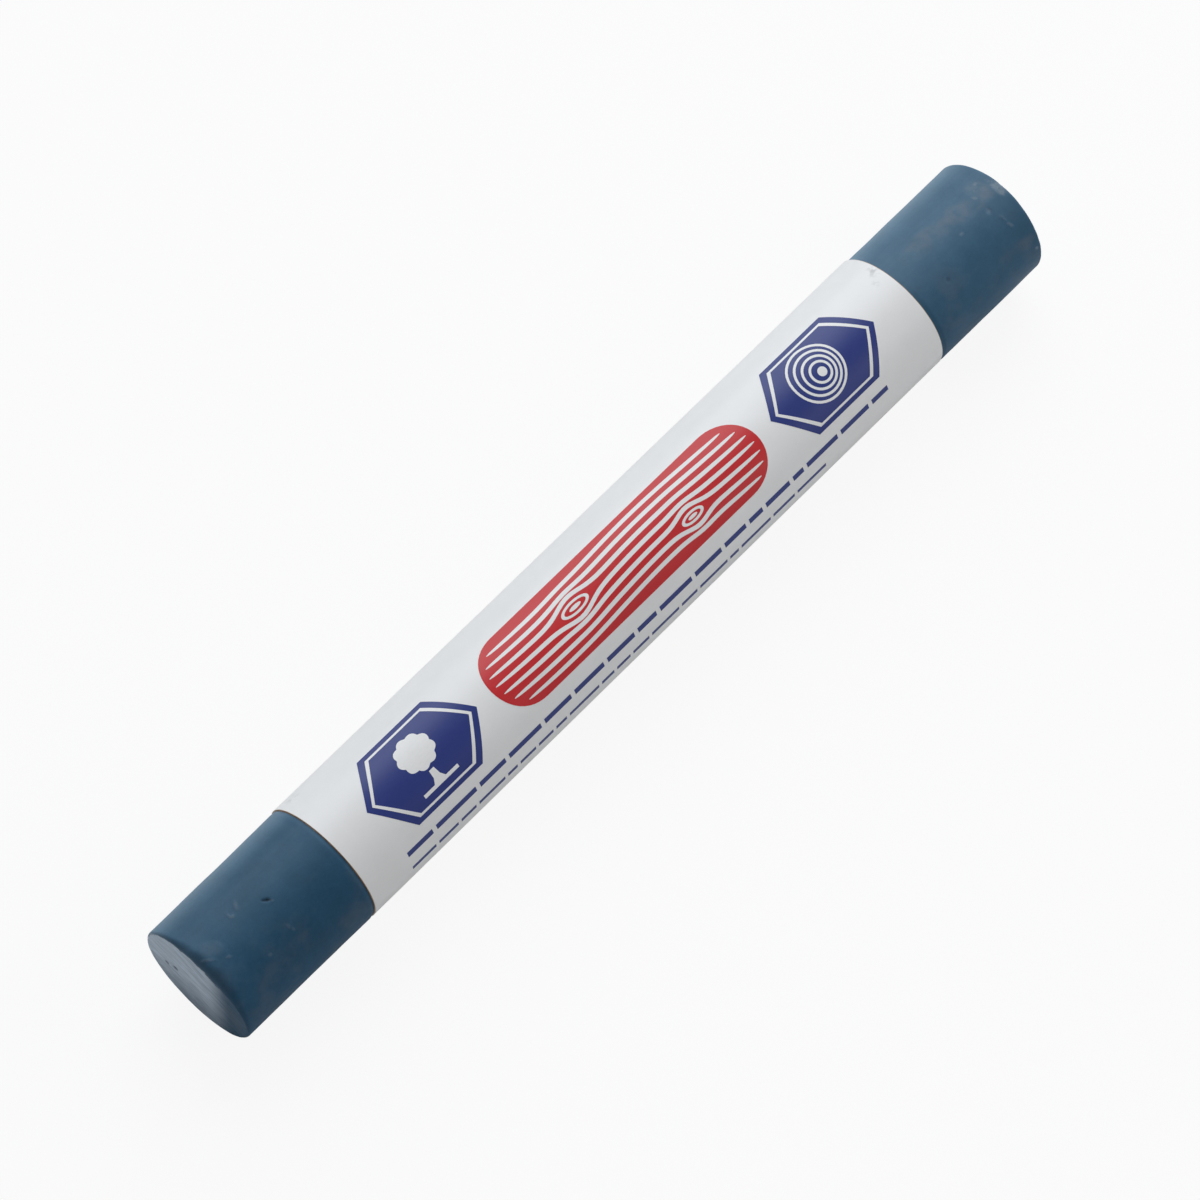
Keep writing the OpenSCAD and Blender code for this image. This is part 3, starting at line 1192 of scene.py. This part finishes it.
def add_floor(stage):
    """A round pale floor whose rim turns up all round."""
    outline = [(FLOOR_FLAT * step / FLOOR_STEPS, 0.0) for step in range(FLOOR_STEPS + 1)]
    for step in range(1, FLOOR_STEPS + 1):
        turn = TAU / 4 * step / FLOOR_STEPS
        outline.append((FLOOR_FLAT + FLOOR_COVE * math.sin(turn), FLOOR_COVE * (1 - math.cos(turn))))
    outline.append((FLOOR_FLAT + FLOOR_COVE, FLOOR_COVE + FLOOR_RISE))
    mesh = bpy.data.meshes.new("pale_floor")
    work = bmesh.new()
    corners = [work.verts.new((distance, 0, height)) for distance, height in outline]
    edges = [work.edges.new(pair) for pair in zip(corners, corners[1:])]
    bmesh.ops.spin(
        work,
        geom=corners + edges,
        cent=(0, 0, 0),
        axis=(0, 0, 1),
        angle=TAU,
        steps=FLOOR_SIDES,
        use_merge=True,
    )
    bmesh.ops.remove_doubles(work, verts=work.verts[:], dist=FLOOR_WELD)
    bmesh.ops.recalc_face_normals(work, faces=work.faces[:])
    if sum(face.normal.z for face in work.faces) < 0:
        bmesh.ops.reverse_faces(work, faces=work.faces[:])
    work.to_mesh(mesh)
    work.free()
    mesh.shade_smooth()
    mesh.materials.append(floor_finish(stage))
    floor = bpy.data.objects.new("pale_floor", mesh)
    bpy.context.scene.collection.objects.link(floor)


def add_lamp(name, power, size, place, colour):
    """A soft rectangular lamp that shines at the stick."""
    lamp = bpy.data.lights.new(name, "AREA")
    lamp.shape = "RECTANGLE"
    lamp.size, lamp.size_y = size
    lamp.energy = power
    lamp.color = colour
    stand = bpy.data.objects.new(name, lamp)
    stand.location = place
    stand.rotation_euler = (-Vector(place)).to_track_quat("-Z", "Y").to_euler()
    stand.visible_camera = False
    bpy.context.scene.collection.objects.link(stand)


def add_lamps(stage):
    """A large soft lamp behind the stick, a smaller one in front, and the even light of the room."""
    add_lamp(
        "back_softbox",
        stage.key_power,
        size=(0.9, 0.8),
        place=(0.46, 0.41, 0.52),
        colour=(0.94, 0.98, 1.0),
    )
    add_lamp(
        "front_fill",
        stage.fill_power,
        size=(0.4, 0.3),
        place=(0.38, -0.29, 0.22),
        colour=(1.0, 0.99, 0.97),
    )
    world = bpy.data.worlds.new("room")
    world.use_nodes = True
    back = world.node_tree.nodes["Background"]
    back.inputs["Color"].default_value = (1.0, 0.99, 0.98, 1.0)
    back.inputs["Strength"].default_value = stage.room_light
    bpy.context.scene.world = world


def add_camera(scene, stage):
    """The camera that looks at the stick as the photograph does."""
    level = math.cos(stage.elevation)
    aside = math.sin(stage.azimuth) * level
    back = -math.cos(stage.azimuth) * level
    away = Vector((aside, back, math.sin(stage.elevation)))
    camera = bpy.data.cameras.new("photo_camera")
    camera.sensor_width = 36.0
    camera.lens = stage.lens
    camera.clip_start = 0.01
    stand = bpy.data.objects.new("photo_camera", camera)
    stand.location = Vector(stage.target) + away * stage.distance
    stand.rotation_euler = (-away).to_track_quat("-Z", "Y").to_euler()
    scene.collection.objects.link(stand)
    scene.camera = stand


class WAX_PT_stick(Panel):
    """Steps and settings of the wax stick"""

    bl_idname = "WAX_PT_stick"
    bl_label = "Wax stick"
    bl_space_type = "VIEW_3D"
    bl_region_type = "UI"
    bl_category = "Wax stick"

    def draw(self, context):
        column = self.layout.column()
        for step in STEPS:
            column.operator(step.bl_idname)
        for group in SETTINGS:
            box_layout = self.layout.box()
            settings = getattr(context.scene, group)
            for name in SETTINGS[group].__annotations__:
                box_layout.prop(settings, name)


SETTINGS = {
    "wax_bar": WaxBarSettings,
    "wax_label": LabelSettings,
    "wax_print": PrintSettings,
    "wax_stage": StageSettings,
}
STEPS = (WAX_OT_add_bar, WAX_OT_add_label, WAX_OT_add_print, WAX_OT_add_stage)


def register():
    """Registers the settings, the steps and the panel."""
    for name, group in SETTINGS.items():
        bpy.utils.register_class(group)
        setattr(bpy.types.Scene, name, PointerProperty(type=group))
    for step in STEPS:
        bpy.utils.register_class(step)
    bpy.utils.register_class(WAX_PT_stick)


def unregister():
    """Removes the panel, the steps and the settings."""
    bpy.utils.unregister_class(WAX_PT_stick)
    for step in reversed(STEPS):
        bpy.utils.unregister_class(step)
    for name, group in reversed(SETTINGS.items()):
        delattr(bpy.types.Scene, name)
        bpy.utils.unregister_class(group)


def main():
    """Builds the dressed stick and its stage step by step."""
    register()
    bpy.ops.wax_stick.add_bar()
    bpy.ops.wax_stick.add_label()
    bpy.ops.wax_stick.add_print()
    bpy.ops.wax_stick.add_stage()


if __name__ == "__main__":
    main()
